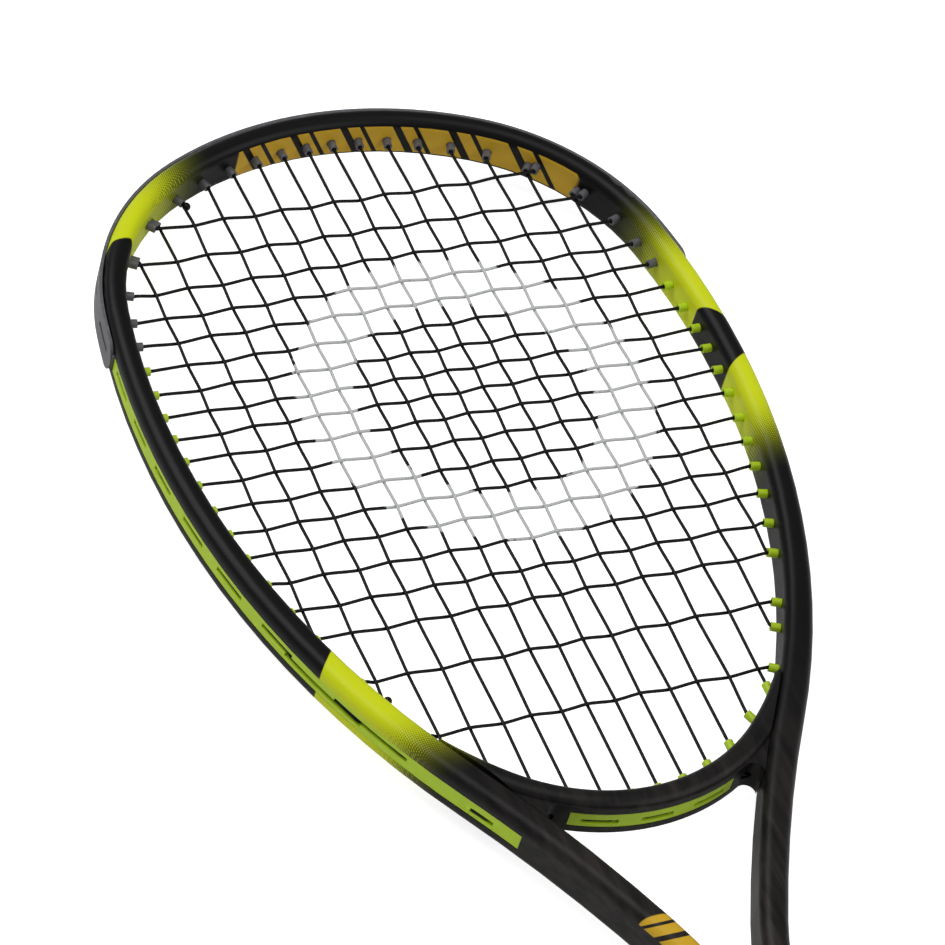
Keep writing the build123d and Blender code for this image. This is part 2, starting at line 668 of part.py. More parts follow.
with BuildPart() as butt_cap:
    with BuildSketch(cross_plane(BUTT_Y)):
        RectangleRounded(BUTT_WIDTH, BUTT_DEPTH, 2.2 * CAP_ROUNDING)
    extrude(amount=CAP_LENGTH)
    fillet(butt_cap.faces().sort_by(Axis.Y)[0].edges(), CAP_ROUNDING)
    fillet(butt_cap.faces().sort_by(Axis.Y)[-1].edges(), CAP_ROUNDING / 4)
    with BuildSketch(cross_plane(BUTT_Y + CAP_END)):
        add(bevelled(shell_width, shell_depth, SEAT))
    extrude(amount=CAP_LENGTH, mode=Mode.SUBTRACT)
    with BuildSketch(cross_plane(BUTT_Y)):
        Circle(BADGE / 2 + SEAT)
    extrude(amount=BADGE_THICKNESS, mode=Mode.SUBTRACT)
    for side in (1, -1):
        staple(side, PIN_CLEARANCE)
butt_cap.part.label = "butt_cap"
export_step(butt_cap.part, "parts/butt_cap.step")

with BuildPart() as butt_badge:
    with BuildSketch(cross_plane(BUTT_Y)):
        Circle(BADGE / 2)
    extrude(amount=BADGE_THICKNESS)
    chamfer(butt_badge.faces().sort_by(Axis.Y)[0].edges(), BADGE_THICKNESS / 4)
butt_badge.part.label = "butt_badge"
export_step(butt_badge.part, "parts/butt_badge.step")

with BuildPart() as cap_staples:
    for side in (1, -1):
        staple(side)
cap_staples.part.label = "cap_staples"
export_step(cap_staples.part, "parts/cap_staples.step")

with BuildPart() as base_grip:
    with BuildSketch(cross_plane(BUTT_Y + CAP_LENGTH + STRIP_GAP)):
        add(bevelled(shell_width, shell_depth, GRIP_THICKNESS))
        add(bevelled(shell_width, shell_depth, SEAT), mode=Mode.SUBTRACT)
    extrude(amount=HANDLE_LENGTH - CAP_LENGTH - STRIP_GAP)
base_grip.part.label = "base_grip"
export_step(base_grip.part, "parts/base_grip.step")

with BuildPart() as finishing_tape:
    with BuildSketch(cross_plane(HANDLE_TOP - TAPE_LENGTH)):
        add(bevelled(shell_width, shell_depth, GRIP_THICKNESS + SEAT + TAPE_THICKNESS))
        add(bevelled(shell_width, shell_depth, GRIP_THICKNESS + SEAT), mode=Mode.SUBTRACT)
    extrude(amount=TAPE_LENGTH)
finishing_tape.part.label = "finishing_tape"
export_step(finishing_tape.part, "parts/finishing_tape.step")

with BuildPart() as grip_collar:
    with BuildSketch(cross_plane(HANDLE_TOP + SEAT)):
        RectangleRounded(GRIP_WIDTH, GRIP_DEPTH, 2 * CAP_ROUNDING)
    with BuildSketch(cross_plane(HANDLE_TOP + SEAT + COLLAR_LENGTH)):
        RectangleRounded(SHAFT_WIDTH + 2 * (SEAT + COLLAR_WALL), TUBE_DEPTH + 2 * (SEAT + COLLAR_WALL),
                         TUBE_EDGE + SEAT + COLLAR_WALL)
    loft()
    with BuildSketch(cross_plane(HANDLE_TOP)):
        RectangleRounded(SHAFT_WIDTH + 2 * SEAT, TUBE_DEPTH + 2 * SEAT, TUBE_EDGE + SEAT)
    extrude(amount=COLLAR_LENGTH + 1, mode=Mode.SUBTRACT)
grip_collar.part.label = "grip_collar"
export_step(grip_collar.part, "parts/grip_collar.step")
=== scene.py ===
import math

import bmesh
import bpy
from mathutils import Matrix, Vector


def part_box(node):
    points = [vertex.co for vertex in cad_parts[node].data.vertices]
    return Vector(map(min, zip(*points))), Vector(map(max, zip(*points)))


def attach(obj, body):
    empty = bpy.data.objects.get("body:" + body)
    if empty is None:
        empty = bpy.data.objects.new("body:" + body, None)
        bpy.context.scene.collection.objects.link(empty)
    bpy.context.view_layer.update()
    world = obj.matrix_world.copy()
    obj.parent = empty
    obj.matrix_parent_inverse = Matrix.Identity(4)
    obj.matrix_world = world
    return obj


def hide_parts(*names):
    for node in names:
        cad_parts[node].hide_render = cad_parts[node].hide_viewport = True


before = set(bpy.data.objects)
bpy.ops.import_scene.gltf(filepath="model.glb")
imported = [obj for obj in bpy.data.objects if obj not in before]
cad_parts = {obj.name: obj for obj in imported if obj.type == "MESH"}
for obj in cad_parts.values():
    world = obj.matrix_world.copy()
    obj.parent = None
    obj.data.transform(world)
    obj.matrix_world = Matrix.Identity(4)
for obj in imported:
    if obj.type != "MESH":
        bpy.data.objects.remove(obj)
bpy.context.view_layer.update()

MM = 0.001
scene = bpy.context.scene

# Racket frame: the moulded graphite tube of head, legs and shaft, and the bridge bonded between its legs.
# It is painted gloss black with brown-grey streaks on the legs that are a painted highlight, and four neon
# patches that fade into the black through a fine screen, and plain slanted gold bars inside the crown and on
# the left leg.


class Finish:
    """A material being built, with short ways to add and join its nodes."""

    def __init__(self, name):
        self.material = bpy.data.materials.new(name)
        self.material.use_nodes = True
        self.tree = self.material.node_tree
        self.shader = self.tree.nodes["Principled BSDF"]
        coordinates = self.tree.nodes.new("ShaderNodeTexCoord")
        scale = self.add("ShaderNodeVectorMath", operation="SCALE")
        self.tree.links.new(coordinates.outputs["Object"], scale.inputs[0])
        scale.inputs["Scale"].default_value = 1 / MM
        self.place = scale.outputs[0]
        parts = self.add("ShaderNodeSeparateXYZ")
        self.tree.links.new(self.place, parts.inputs[0])
        self.x, self.y, self.z = parts.outputs

    def add(self, kind, **settings):
        node = self.tree.nodes.new(kind)
        for key, value in settings.items():
            setattr(node, key, value)
        return node

    def join(self, value, socket):
        if isinstance(value, bpy.types.NodeSocket):
            self.tree.links.new(value, socket)
        else:
            socket.default_value = value

    def calc(self, operation, *values, clamp=False):
        node = self.add("ShaderNodeMath", operation=operation, use_clamp=clamp)
        for value, socket in zip(values, node.inputs):
            self.join(value, socket)
        return node.outputs[0]

    def step(self, value, low, high):
        """0 below low, 1 above high and smooth between them; low may be above high."""
        node = self.add("ShaderNodeMapRange", interpolation_type="SMOOTHSTEP")
        self.join(value, node.inputs["Value"])
        self.join(low, node.inputs["From Min"])
        self.join(high, node.inputs["From Max"])
        return node.outputs["Result"]

    def both(self, *masks):
        out = masks[0]
        for mask in masks[1:]:
            out = self.calc("MULTIPLY", out, mask)
        return out

    def either(self, *masks):
        out = masks[0]
        for mask in masks[1:]:
            out = self.calc("MAXIMUM", out, mask)
        return out

    def noise(self, scale, detail=2.0, stretch=(1, 1, 1)):
        """Noise over the piece; the scale is in lumps per millimetre."""
        place = self.place
        if stretch != (1, 1, 1):
            bend = self.add("ShaderNodeVectorMath", operation="MULTIPLY")
            self.join(self.place, bend.inputs[0])
            bend.inputs[1].default_value = stretch
            place = bend.outputs[0]
        node = self.add("ShaderNodeTexNoise")
        self.join(place, node.inputs["Vector"])
        node.inputs["Scale"].default_value = scale
        node.inputs["Detail"].default_value = detail
        return node.outputs["Fac"]

    def mix(self, factor, first, second):
        node = self.add("ShaderNodeMix", data_type="RGBA")
        self.join(factor, node.inputs["Factor"])
        self.join(first, node.inputs["A"])
        self.join(second, node.inputs["B"])
        return node.outputs["Result"]

    def blend(self, factor, first, second):
        node = self.add("ShaderNodeMix", data_type="FLOAT")
        self.join(factor, node.inputs["Factor"])
        self.join(first, node.inputs["A"])
        self.join(second, node.inputs["B"])
        return node.outputs["Result"]

    def colour(self, value):
        self.join(value, self.shader.inputs["Base Color"])

    def rough(self, value):
        self.join(value, self.shader.inputs["Roughness"])

    def bump(self, height, distance, strength=1.0):
        node = self.add("ShaderNodeBump")
        node.inputs["Strength"].default_value = strength
        node.inputs["Distance"].default_value = distance * MM
        self.join(height, node.inputs["Height"])
        self.tree.links.new(node.outputs[0], self.shader.inputs["Normal"])


def dress(node_name, finish):
    """Give a CAD node its finish."""
    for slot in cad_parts[node_name].material_slots:
        slot.material = finish.material


STRING_PLANE = 15.5
BLACK = (0.0045, 0.0045, 0.0050, 1)
# brown-grey of the highlight painted along the legs
LEG_HIGHLIGHT_BROWN = (0.062, 0.052, 0.046, 1)
NEON = (0.74, 0.83, 0.012, 1)
GOLD = (0.74, 0.45, 0.03, 1)
PAINT_EDGE = 0.6                         # softness of a masked paint edge

paint = Finish("racket_paint")
x, y, z = paint.x, paint.y, paint.z
right = paint.step(x, -0.5, 0.5)
left = paint.calc("SUBTRACT", 1.0, right)
height = paint.calc("SUBTRACT", z, STRING_PLANE)
rise = paint.calc("ABSOLUTE", height)

# The screen: a fine diagonal grid of dots, which the fades are cut through
SCREEN = 4.2
DOT_EDGE = 0.2
u = paint.calc("MULTIPLY", paint.calc("ADD", x, y), SCREEN)
v = paint.calc("MULTIPLY", paint.calc("ADD", paint.calc("SUBTRACT", x, y), height), SCREEN)
dots = paint.calc("MULTIPLY", paint.calc("SINE", u), paint.calc("SINE", v))
dots = paint.calc("MULTIPLY_ADD", dots, 0.5, 0.5)


def screened(fade):
    """A fade cut into dots."""
    level = paint.calc("MULTIPLY_ADD", fade, -1.5, 1.25)
    cut = paint.calc("SUBTRACT", dots, level)
    return paint.blend(0.5, paint.step(cut, -DOT_EDGE, DOT_EDGE), fade)


# Upper left: from a rounded black tongue up round the crown
TONGUE_Y = 288.0
TONGUE_RISE = 9.0
CROWN_FADE_X = (-44.0, -84.0)
tongue = paint.calc("MULTIPLY_ADD", paint.step(height, 3.0, 8.0), TONGUE_RISE, TONGUE_Y)
upper_left = paint.both(left, paint.step(y, tongue, paint.calc("ADD", tongue, PAINT_EDGE)),
                        screened(paint.step(x, *CROWN_FADE_X)))

# Right: down the shoulder to a slanted end, then a black block, then on down the flank
BLOCK_X = 95.0
BLOCK_TOP_Y = 233.0
BLOCK_TOP_SLANT = -0.9
BLOCK_FOOT_Y = 200.0
BLOCK_FOOT_SLANT = 0.5
SHOULDER_FADE_Y = (284.0, 238.0)
FLANK_FADE_Y = (154.0, 192.0)
across = paint.calc("SUBTRACT", x, BLOCK_X)
block_top = paint.calc("MULTIPLY_ADD", across, BLOCK_TOP_SLANT, BLOCK_TOP_Y)
block_foot = paint.calc("MULTIPLY_ADD", across, BLOCK_FOOT_SLANT, BLOCK_FOOT_Y)
right_top = paint.both(right, paint.step(y, block_top, paint.calc("ADD", block_top, PAINT_EDGE)),
                       screened(paint.step(y, *SHOULDER_FADE_Y)))
right_low = paint.both(right, paint.step(y, block_foot, paint.calc("SUBTRACT", block_foot, PAINT_EDGE)),
                       screened(paint.step(y, *FLANK_FADE_Y)))

# Lower left: from a slanted edge down towards the throat
LOWER_X = 82.6
LOWER_Y = 116.6
LOWER_SLANT = 1.15
LOWER_FADE_Y = (62.0, 94.0)
lower_edge = paint.calc("MULTIPLY_ADD", paint.calc("ADD", x, LOWER_X), LOWER_SLANT, LOWER_Y)
lower_left = paint.both(left, paint.step(y, lower_edge, paint.calc("SUBTRACT", lower_edge, PAINT_EDGE)),
                        screened(paint.step(y, *LOWER_FADE_Y)))
neon = paint.either(upper_left, right_top, right_low, lower_left)


# The bars; BAR_EDGE, BAR_SPACE and NARROW_END are shares of the pitch
BAR_EDGE = 0.02
BAR_SPACE = 0.13
NARROW_END = 0.93


def bars(along, lean, pitch, share):
    """Slanted bars: a wide one and a narrow one in each pitch."""
    turn = paint.calc("FRACT", paint.calc("DIVIDE", paint.calc("MULTIPLY_ADD", height, lean, along), pitch))
    wide = paint.both(paint.step(turn, 0.0, BAR_EDGE), paint.step(turn, share, share - BAR_EDGE))
    start = share + BAR_SPACE
    narrow = paint.both(paint.step(turn, start, start + BAR_EDGE),
                        paint.step(turn, NARROW_END, NARROW_END - BAR_EDGE))
    return paint.either(wide, narrow)


CROWN_BARS_X = (-33.0, 84.0)
CROWN_BARS_Y = 290.0
CROWN_BARS_RISE = 6.0
LEG_BARS_Y = (-40.0, -2.0)
LEG_BARS_RISE = 5.0
surface = paint.add("ShaderNodeNewGeometry")
facing = paint.add("ShaderNodeSeparateXYZ")
paint.join(surface.outputs["Normal"], facing.inputs[0])
inner_wall = paint.both(paint.step(rise, CROWN_BARS_RISE + 0.1, CROWN_BARS_RISE - 0.1),
                        paint.step(y, CROWN_BARS_Y, CROWN_BARS_Y + 1.0),
                        paint.step(x, CROWN_BARS_X[0], CROWN_BARS_X[0] + 1.0),
                        paint.step(x, CROWN_BARS_X[1], CROWN_BARS_X[1] - 1.0),
                        paint.step(facing.outputs["Y"], -0.35, -0.45))
crown_bars = paint.both(inner_wall, bars(x, lean=0.55, pitch=19.0, share=0.55))
leg_bars = paint.both(left, paint.step(y, LEG_BARS_Y[0], LEG_BARS_Y[0] + PAINT_EDGE),
                      paint.step(y, LEG_BARS_Y[1], LEG_BARS_Y[1] - PAINT_EDGE),
                      paint.step(height, LEG_BARS_RISE, LEG_BARS_RISE + 0.4),
                      bars(y, lean=0.6, pitch=13.0, share=0.5))
gold = paint.either(crown_bars, leg_bars)

# Painted highlight: brown-grey streaks along the legs where they catch the light, under the clear coat,
# which is a little uneven
LEG_HIGHLIGHT_Y = (95.0, 10.0)
unevenness = paint.noise(0.05, 3.0)
streaks = paint.noise(0.3, 3.0, (1.0, 0.1, 1.0))
leg_highlight = paint.both(paint.step(y, *LEG_HIGHLIGHT_Y), paint.step(streaks, 0.15, 0.95))
# black, with the painted brown-grey highlight streaked over the legs
body = paint.mix(paint.calc("MULTIPLY", leg_highlight, 0.7), BLACK, LEG_HIGHLIGHT_BROWN)
body = paint.mix(neon, body, NEON)
body = paint.mix(gold, body, GOLD)
paint.colour(body)
paint.rough(paint.calc("MULTIPLY_ADD", unevenness, 0.12, 0.32))
paint.shader.inputs["Specular IOR Level"].default_value = 0.18
paint.shader.inputs["Coat Weight"].default_value = 0.05
paint.shader.inputs["Coat Roughness"].default_value = 0.22
paint.bump(paint.noise(0.9, 2.0), 0.012, 0.35)
dress("frame", paint)
dress("throat_bridge", paint)

# Bumper guard: the grey nylon rim that takes the knocks from walls and floor, moulded in one with the
# grey barrels that carry the strings through the crown. Its outer face is scuffed.
BUMPER_GREY = (0.13, 0.13, 0.145, 1)
BUMPER_WORN = (0.21, 0.21, 0.225, 1)

bumper = Finish("bumper_nylon")
scuffs = bumper.step(bumper.noise(0.35, 5.0, (1.0, 1.0, 0.35)), 0.54, 0.70)
bumper.colour(bumper.mix(bumper.calc("MULTIPLY", scuffs, 0.6), BUMPER_GREY, BUMPER_WORN))
bumper.rough(bumper.calc("MULTIPLY_ADD", scuffs, 0.18, 0.42))
bumper.bump(bumper.noise(2.2, 4.0), 0.03, 0.4)
dress("bumper_guard", bumper)

# Grommet strips: injection-moulded lime nylon strips that sit in the outer channel, with a barrel for each
# string end. The two loose grommets in the corners of the throat are the same stuff.
LIME = (0.62, 0.86, 0.020, 1)
LIME_DEEP = (0.50, 0.74, 0.012, 1)

lime = Finish("lime_nylon")
lime.colour(lime.mix(lime.noise(0.12, 3.0), LIME_DEEP, LIME))
lime.rough(lime.calc("MULTIPLY_ADD", lime.noise(0.8, 2.0), 0.15, 0.36))
lime.shader.inputs["Subsurface Weight"].default_value = 0.08
lime.shader.inputs["Subsurface Radius"].default_value = (0.5 * MM, 0.6 * MM, 0.1 * MM)
lime.bump(lime.noise(1.6, 2.0), 0.02, 0.3)
for name in ("left_grommet_strip", "right_grommet_strip", "bridge_grommet_strip", "corner_grommets"):
    dress(name, lime)

# Strings: two lengths of black nylon, woven through each other across the head, the crosses bending more
# than the mains. The runs outside the frame and the knots come from the CAD strings, and a plain white
# ring is stencilled on the bed.
BED_STRING = 1.14
MAIN_WAVE = 0.44
CROSS_WAVE = 0.70
STRAND_SIDES = 8
WAVE_STEPS = 6
LONG_FACE = 14.0                         # a face this long belongs to a pass over the bed
BED_LEVEL = 1.6                          # and lies this near the string plane
ALONG_AXIS = 0.985                       # cosine of its angle to X or Y
CLEAR_OF_BARREL = 1.5                    # no crossing is this near a barrel
RING_CENTRE = (10.0, 212.0)
RING_OUTER = 62.0
RING_INNER = 42.0
RAGGED = 5.0                             # how far the stencil's edge wanders
RING_EDGE = 0.3
STRING_BLACK = (0.004, 0.004, 0.0045, 1)
STENCIL_WHITE = (0.66, 0.67, 0.68, 1)

string_finish = Finish("string_nylon")
x, y, z = string_finish.x, string_finish.y, string_finish.z
dx = string_finish.calc("SUBTRACT", x, RING_CENTRE[0])
dy = string_finish.calc("SUBTRACT", y, RING_CENTRE[1])
radius = string_finish.calc("SQRT", string_finish.calc(
    "ADD", string_finish.calc("MULTIPLY", dx, dx), string_finish.calc("MULTIPLY", dy, dy)))
ragged = string_finish.calc("MULTIPLY_ADD", string_finish.noise(0.5, 3.0), RAGGED, radius)
inner_edge = RING_INNER + RAGGED / 2
outer_edge = RING_OUTER + RAGGED / 2
ring = string_finish.both(string_finish.step(ragged, inner_edge - RING_EDGE, inner_edge + RING_EDGE),
                          string_finish.step(ragged, outer_edge + RING_EDGE, outer_edge - RING_EDGE))
missed = string_finish.step(string_finish.noise(2.6, 3.0), 0.30, 0.36)
ring = string_finish.both(ring, missed)
string_finish.colour(string_finish.mix(ring, STRING_BLACK, STENCIL_WHITE))
string_finish.rough(string_finish.blend(ring, 0.42, 0.65))
string_finish.shader.inputs["Specular IOR Level"].default_value = 0.2
string_finish.bump(string_finish.noise(3.0, 2.0), 0.02, 0.4)


def outside_runs(node_name):
    """A copy of a CAD string without its long passes over the bed, and the middles of its cut ends."""
    mesh = bmesh.new()
    mesh.from_mesh(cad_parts[node_name].data)
    bmesh.ops.remove_doubles(mesh, verts=mesh.verts, dist=0.002 * MM)
    passes = [f for f in mesh.faces if max(e.calc_length() for e in f.edges) > LONG_FACE * MM
              and abs(f.calc_center_median().z - STRING_PLANE * MM) < BED_LEVEL * MM
              and on_the_bed(f)]
    bmesh.ops.delete(mesh, geom=passes, context="FACES")
    rims = {e for e in mesh.edges if e.is_boundary}
    ends = []
    while rims:
        loop, grow = [], [rims.pop()]
        while grow:
            edge = grow.pop()
            loop.append(edge)
            for vert in edge.verts:
                for other in vert.link_edges:
                    if other in rims:
                        rims.discard(other)
                        grow.append(other)
        verts = {v for e in loop for v in e.verts}
        levels = [v.co.z for v in verts]
        if max(levels) - min(levels) > MM:
            ends.append(sum((v.co for v in verts), Vector()) / len(verts))
    data = bpy.data.meshes.new(node_name + "_runs")
    mesh.to_mesh(data)
    mesh.free()
    data.polygons.foreach_set("use_smooth", [True] * len(data.polygons))
    return data, ends


def on_the_bed(face):
    """Whether a face runs along X or Y, as the passes over the bed do."""
    edge = max(face.edges, key=lambda e: e.calc_length())
    way = (edge.verts[1].co - edge.verts[0].co).normalized()
    return abs(way.x) > ALONG_AXIS or abs(way.y) > ALONG_AXIS


def strand(points, name):
    """A round string through the points."""
    curve = bpy.data.curves.new(name, "CURVE")
    curve.dimensions = "3D"
    curve.bevel_depth = BED_STRING / 2 * MM
    curve.bevel_resolution = STRAND_SIDES // 4
    spline = curve.splines.new("POLY")
    spline.points.add(len(points) - 1)
    for point, place in zip(spline.points, points):
        point.co = (*place, 1)
    spline.use_smooth = True
    holder = bpy.data.objects.new(name, curve)
    mesh = bpy.data.meshes.new_from_object(holder)
    bpy.data.objects.remove(holder)
    bpy.data.curves.remove(curve)
    return mesh


string_runs = {}
string_ends = {}
for name in ("centre_string", "outer_string"):
    string_runs[name], string_ends[name] = outside_runs(name)
all_ends = [(end / MM, name) for name, ends in string_ends.items() for end in ends]
main_ends = [(end, name) for end, name in all_ends if end.z < STRING_PLANE]
cross_ends = [(end, name) for end, name in all_ends if end.z >= STRING_PLANE]


def paired(ends, axis, across):
    """Pair the ends of each pass: the same place on one axis, opposite ends of the other."""
    pairs, left_over = [], sorted(ends, key=lambda item: item[0][axis])
    while left_over:
        end, name = left_over.pop(0)
        mate = min(left_over, key=lambda item: abs(item[0][axis] - end[axis]))
        left_over.remove(mate)
        low, high = sorted((end, mate[0]), key=lambda point: point[across])
        pairs.append((low, high, name))
    return sorted(pairs, key=lambda pair: pair[0][axis] + pair[1][axis])


mains = paired(main_ends, 0, 1)
crosses = paired(cross_ends, 1, 0)
main_x = [(low.x + high.x) / 2 for low, high, _ in mains]
cross_y = [(low.y + high.y) / 2 for low, high, _ in crosses]


def woven(low, high, along, meets, wave, first_up):
    """Points of a pass that goes over and under the strings it meets."""
    first, last = low[along] + CLEAR_OF_BARREL, high[along] - CLEAR_OF_BARREL
    crossings = [(place, STRING_PLANE + (wave if (i + first_up) % 2 == 0 else -wave))
                 for i, place in enumerate(meets) if first < place < last]
    stops = [(low[along], low.z)] + crossings + [(high[along], high.z)]
    points = []
    for (here, level), (there, next_level) in zip(stops, stops[1:]):
        for step in range(WAVE_STEPS):
            share = step / WAVE_STEPS
            ease = share * (1 + share * (3 - 2 * share)) / 2
            place = low.lerp(high, (here + (there - here) * share - low[along]) / (high[along] - low[along]))
            points.append(Vector((place.x, place.y, level + (next_level - level) * ease)) * MM)
    points.append(high * MM)
    return points


def joined(meshes, name):
    """One object from several meshes, riding with the racket."""
    whole = bmesh.new()
    for mesh in meshes:
        whole.from_mesh(mesh)
    data = bpy.data.meshes.new(name)
    whole.to_mesh(data)
    whole.free()
    data.polygons.foreach_set("use_smooth", [True] * len(data.polygons))
    piece = bpy.data.objects.new(name, data)
    scene.collection.objects.link(piece)
    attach(piece, "root")
    return piece


strands = {"centre_string": [], "outer_string": []}
for number, (low, high, name) in enumerate(mains):
    strands[name].append(strand(woven(low, high, 1, cross_y, MAIN_WAVE, number), "main"))
for number, (low, high, name) in enumerate(crosses):
    strands[name].append(strand(woven(low, high, 0, main_x, CROSS_WAVE, number + 1), "cross"))
for name, piece_name in (("centre_string", "centre_stringing"), ("outer_string", "outer_stringing")):
    stringing = joined([string_runs[name]] + strands[name], piece_name)
    stringing.data.materials.append(string_finish.material)
    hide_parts(name)

# Base grip: a tacky black grip strip wound up the handle from the butt, each turn lapping the last, with
# rows of small holes and a thin pad under it.
grip_low, grip_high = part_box("base_grip")
GRIP_SIDES = 64
GRIP_STEPS = 300
GRIP_PITCH = 23.0
LAP = 0.55                               # height of the step where a turn laps the last
LAP_EDGE = 0.06                          # share of a turn that the step takes
LAP_FALL = 0.55                          # how much of the step is gone at the end of the turn
SECTION_POWER = 5.0
CORNER_ROOM = 1.08

grip = bmesh.new()
middle = (Vector(grip_low) + Vector(grip_high)) / 2
ring_verts = bmesh.ops.create_circle(grip, segments=GRIP_SIDES, radius=1.0)["verts"]
half_width = (grip_high[0] - grip_low[0]) / 2
half_depth = (grip_high[2] - grip_low[2]) / 2
for vert in ring_verts:
    angle = math.atan2(vert.co.y, vert.co.x)
    spread = abs(math.cos(angle)) ** SECTION_POWER + abs(math.sin(angle)) ** SECTION_POWER
    octagon = 1.0 / max(abs(math.cos(angle - side * math.pi / 4)) for side in range(4))
    reach = min(spread ** (-1 / SECTION_POWER), octagon * CORNER_ROOM)
    vert.co = Vector((math.cos(angle) * reach * half_width, grip_low[1],
                      middle.z + math.sin(angle) * reach * half_depth))
edges = list({e for v in ring_verts for e in v.link_edges})
span = grip_high[1] - grip_low[1]
for step in range(GRIP_STEPS):
    grown = bmesh.ops.extrude_edge_only(grip, edges=edges)["geom"]
    fresh = [g for g in grown if isinstance(g, bmesh.types.BMVert)]
    bmesh.ops.translate(grip, verts=fresh, vec=(0, span / GRIP_STEPS, 0))
    edges = [g for g in grown if isinstance(g, bmesh.types.BMEdge)]
for vert in grip.verts:
    outward = Vector((vert.co.x, 0, vert.co.z - middle.z))
    turn = (vert.co.y - grip_low[1]) / (GRIP_PITCH * MM) + math.atan2(outward.z, outward.x) / math.tau
    phase = turn % 1.0
    lap = min(phase / LAP_EDGE, 1.0) * (1.0 - LAP_FALL * phase)
    vert.co -= outward.normalized() * (1.0 - lap) * LAP * MM
bmesh.ops.recalc_face_normals(grip, faces=grip.faces)
grip_mesh = bpy.data.meshes.new("grip_wrap")
grip.to_mesh(grip_mesh)
grip.free()
grip_wrap = joined([grip_mesh], "grip_wrap")
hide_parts("base_grip")

GRIP_BLACK = (0.016, 0.016, 0.017, 1)
GRIP_DUST = (0.034, 0.033, 0.033, 1)
HOLE_ROWS = 6                            # rows of holes in each turn of the strip
HOLE_FILES = 26.0                        # and holes round the handle

grip_finish = Finish("grip_polyurethane")
x, y, z = grip_finish.x, grip_finish.y, grip_finish.z
around = grip_finish.calc("ARCTAN2", grip_finish.calc("SUBTRACT", z, STRING_PLANE), x)
lead = grip_finish.calc("SUBTRACT", y, grip_low[1] / MM)
phase = grip_finish.calc("FRACT", grip_finish.calc(
    "ADD", grip_finish.calc("DIVIDE", lead, GRIP_PITCH), grip_finish.calc("DIVIDE", around, math.tau)))
row = grip_finish.calc("COSINE", grip_finish.calc("MULTIPLY", phase, math.tau * HOLE_ROWS))
file = grip_finish.calc("COSINE", grip_finish.calc("MULTIPLY", around, HOLE_FILES))
pricks = grip_finish.step(grip_finish.calc("ADD", row, file), 1.35, 1.75)
leather = grip_finish.noise(1.1, 4.0)
grip_finish.colour(grip_finish.mix(leather, GRIP_BLACK, GRIP_DUST))
grip_finish.rough(grip_finish.calc("MULTIPLY_ADD", leather, 0.2, 0.5))
grip_finish.bump(grip_finish.calc("SUBTRACT", grip_finish.calc("MULTIPLY", leather, 0.3), pricks), 0.30, 0.7)
grip_wrap.data.materials.append(grip_finish.material)

# Handle shells: two rigid foam halves bonded round the shaft, which the grip covers.
FOAM = (0.42, 0.36, 0.24, 1)
FOAM_DARK = (0.34, 0.29, 0.19, 1)

foam = Finish("handle_foam")
foam.colour(foam.mix(foam.noise(0.8, 4.0), FOAM, FOAM_DARK))
foam.rough(0.8)
foam.bump(foam.noise(2.5, 3.0), 0.08, 0.6)
for name in ("handle_shell_front", "handle_shell_back"):
    dress(name, foam)

# Butt cap: a moulded nylon cap over the end of the handle, held by two staples, with a plain round badge
# let into its end.
CAP_BLACK = (0.012, 0.012, 0.013, 1)
CAP_WORN = (0.02, 0.02, 0.021, 1)
BADGE_RING = (5.7, 6.9)
STEEL = (0.55, 0.55, 0.56, 1)

cap = Finish("cap_plastic")
cap.colour(cap.mix(cap.noise(0.4, 3.0), CAP_BLACK, CAP_WORN))
cap.rough(0.42)
cap.bump(cap.noise(3.0, 2.0), 0.03, 0.5)
dress("butt_cap", cap)

badge = Finish("badge_lime")
spread = badge.calc("SQRT", badge.calc(
    "ADD", badge.calc("MULTIPLY", badge.x, badge.x),
    badge.calc("POWER", badge.calc("ABSOLUTE", badge.calc("SUBTRACT", badge.z, STRING_PLANE)), 2.0)))
rim = badge.both(badge.step(spread, BADGE_RING[0] - 0.1, BADGE_RING[0] + 0.1),
                 badge.step(spread, BADGE_RING[1] + 0.1, BADGE_RING[1] - 0.1))
badge.colour(badge.mix(rim, LIME, BLACK))
badge.rough(0.3)
dress("butt_badge", badge)

steel = Finish("staple_steel")
steel.colour(STEEL)
steel.shader.inputs["Metallic"].default_value = 1.0
steel.rough(steel.calc("MULTIPLY_ADD", steel.noise(2.0, 3.0), 0.2, 0.25))
dress("cap_staples", steel)

# Finishing tape and collar: self-adhesive tape round the top of the grip, under a soft rubber collar.
TAPE_BLACK = (0.02, 0.02, 0.022, 1)
TAPE_WORN = (0.03, 0.03, 0.032, 1)
RUBBER_BLACK = (0.014, 0.014, 0.015, 1)
RUBBER_DUST = (0.024, 0.024, 0.025, 1)
RIBS = 2.4

tape = Finish("finishing_tape")
tape.colour(tape.mix(tape.noise(0.7, 3.0), TAPE_BLACK, TAPE_WORN))
tape.rough(0.35)
tape.bump(tape.noise(1.5, 3.0), 0.03, 0.5)
dress("finishing_tape", tape)

rubber = Finish("collar_rubber")
ribs = rubber.calc("SINE", rubber.calc("MULTIPLY", rubber.y, RIBS))
rubber.colour(rubber.mix(rubber.noise(0.9, 3.0), RUBBER_BLACK, RUBBER_DUST))
rubber.rough(0.62)
rubber.bump(rubber.calc("ADD", ribs, rubber.noise(2.0, 2.0)), 0.12, 0.5)
dress("grip_collar", rubber)

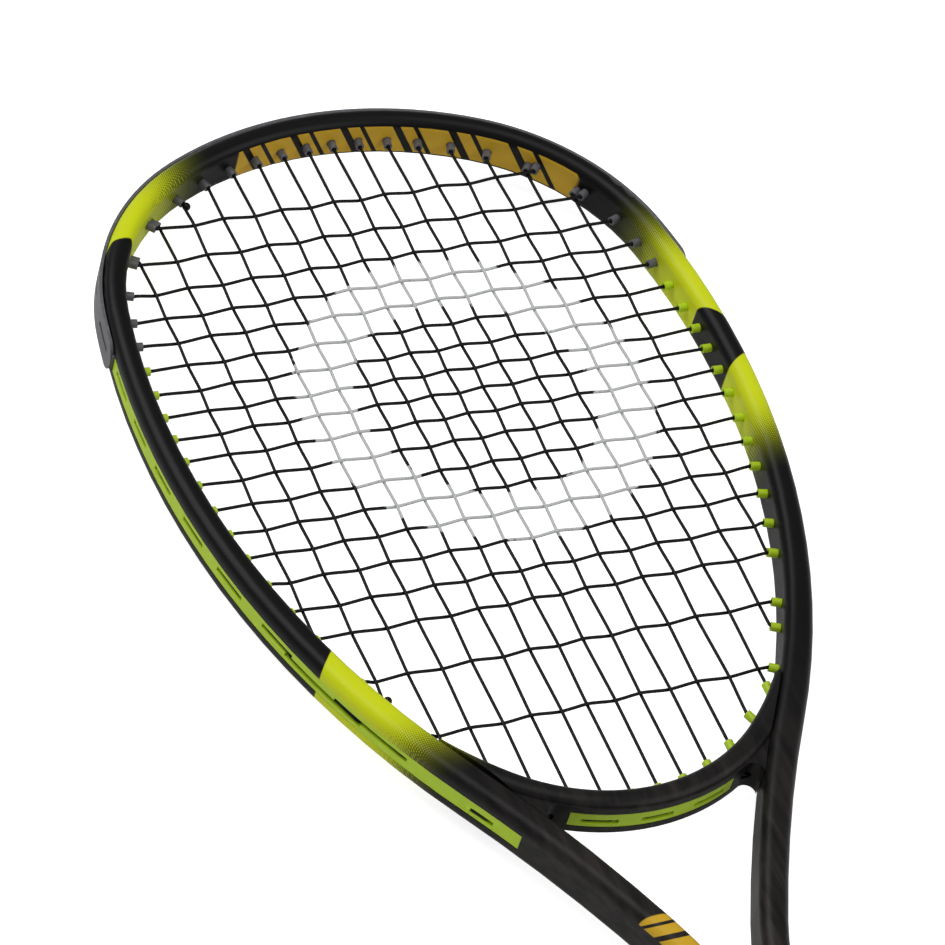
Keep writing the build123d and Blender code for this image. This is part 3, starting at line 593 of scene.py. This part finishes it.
# Table, light and camera: the racket lies on a wide white floor under three large soft boxes. The floor
# glows and the surround is white where the camera sees them, and both are dimmer to everything else.
FLOOR_SIZE = 14.0
FLOOR_DROP = 0.5
FLOOR_WHITE = (0.86, 0.86, 0.86, 1)
FLOOR_GLOW = 0.80
SURROUND = 0.20
floor_mesh = bmesh.new()
bmesh.ops.create_grid(floor_mesh, x_segments=1, y_segments=1, size=FLOOR_SIZE / 2)
floor_data = bpy.data.meshes.new("floor")
floor_mesh.to_mesh(floor_data)
floor_mesh.free()
floor = bpy.data.objects.new("floor", floor_data)
floor.location.z = -FLOOR_DROP * MM
scene.collection.objects.link(floor)
white = bpy.data.materials.new("white_floor")
white.use_nodes = True
tree = white.node_tree
tree.nodes["Principled BSDF"].inputs["Base Color"].default_value = FLOOR_WHITE
tree.nodes["Principled BSDF"].inputs["Roughness"].default_value = 0.9
tree.nodes["Principled BSDF"].inputs["Specular IOR Level"].default_value = 0.1
glow = tree.nodes.new("ShaderNodeEmission")
paths = tree.nodes.new("ShaderNodeLightPath")
seen = tree.nodes.new("ShaderNodeMath")
seen.operation = "MULTIPLY"
seen.inputs[1].default_value = FLOOR_GLOW
tree.links.new(paths.outputs["Is Camera Ray"], seen.inputs[0])
tree.links.new(seen.outputs[0], glow.inputs["Strength"])
both = tree.nodes.new("ShaderNodeAddShader")
tree.links.new(tree.nodes["Principled BSDF"].outputs[0], both.inputs[0])
tree.links.new(glow.outputs[0], both.inputs[1])
tree.links.new(both.outputs[0], tree.nodes["Material Output"].inputs["Surface"])
floor_data.materials.append(white)

world = bpy.data.worlds.new("surround")
scene.world = world
world.use_nodes = True
tree = world.node_tree
paths = tree.nodes.new("ShaderNodeLightPath")
behind = tree.nodes.new("ShaderNodeMapRange")
behind.inputs["To Min"].default_value = SURROUND
behind.inputs["To Max"].default_value = 1.0
tree.links.new(paths.outputs["Is Camera Ray"], behind.inputs["Value"])
tree.links.new(behind.outputs["Result"], tree.nodes["Background"].inputs["Strength"])
tree.nodes["Background"].inputs["Color"].default_value = (1, 1, 1, 1)


AIM = (0, 0.1, 0)


def soft_box(name, place, size, watts):
    """A rectangular soft box that points at the racket."""
    light = bpy.data.lights.new(name, "AREA")
    light.shape = "RECTANGLE"
    light.size, light.size_y = size
    light.energy = watts
    holder = bpy.data.objects.new(name, light)
    holder.location = place
    holder.rotation_euler = (Vector(AIM) - Vector(place)).to_track_quat("-Z", "Y").to_euler()
    scene.collection.objects.link(holder)


soft_box("key", (-1.2, 1.6, 2.2), size=(2.6, 2.0), watts=36)
soft_box("fill", (1.6, -1.6, 1.6), size=(2.6, 2.0), watts=22)
soft_box("top", (-0.3, 0.2, 2.8), size=(2.0, 2.0), watts=16)

CAMERA_PLACE = (-0.6127, -0.6560, 1.1386)
CAMERA_RIGHT = (0.90275, -0.37627, 0.20847)
CAMERA_UP = (0.16231, 0.74676, 0.64499)
CAMERA_BACK = (-0.39837, -0.54843, 0.73521)
camera_data = bpy.data.cameras.new("camera")
camera_data.sensor_width = 36.0
camera_data.lens = 177.0
camera_data.clip_start = 0.01
camera = bpy.data.objects.new("camera", camera_data)
turn = Matrix((CAMERA_RIGHT, CAMERA_UP, CAMERA_BACK)).transposed().to_4x4()
camera.matrix_world = Matrix.Translation(CAMERA_PLACE) @ turn
scene.collection.objects.link(camera)
scene.camera = camera
scene.view_settings.view_transform = "Standard"
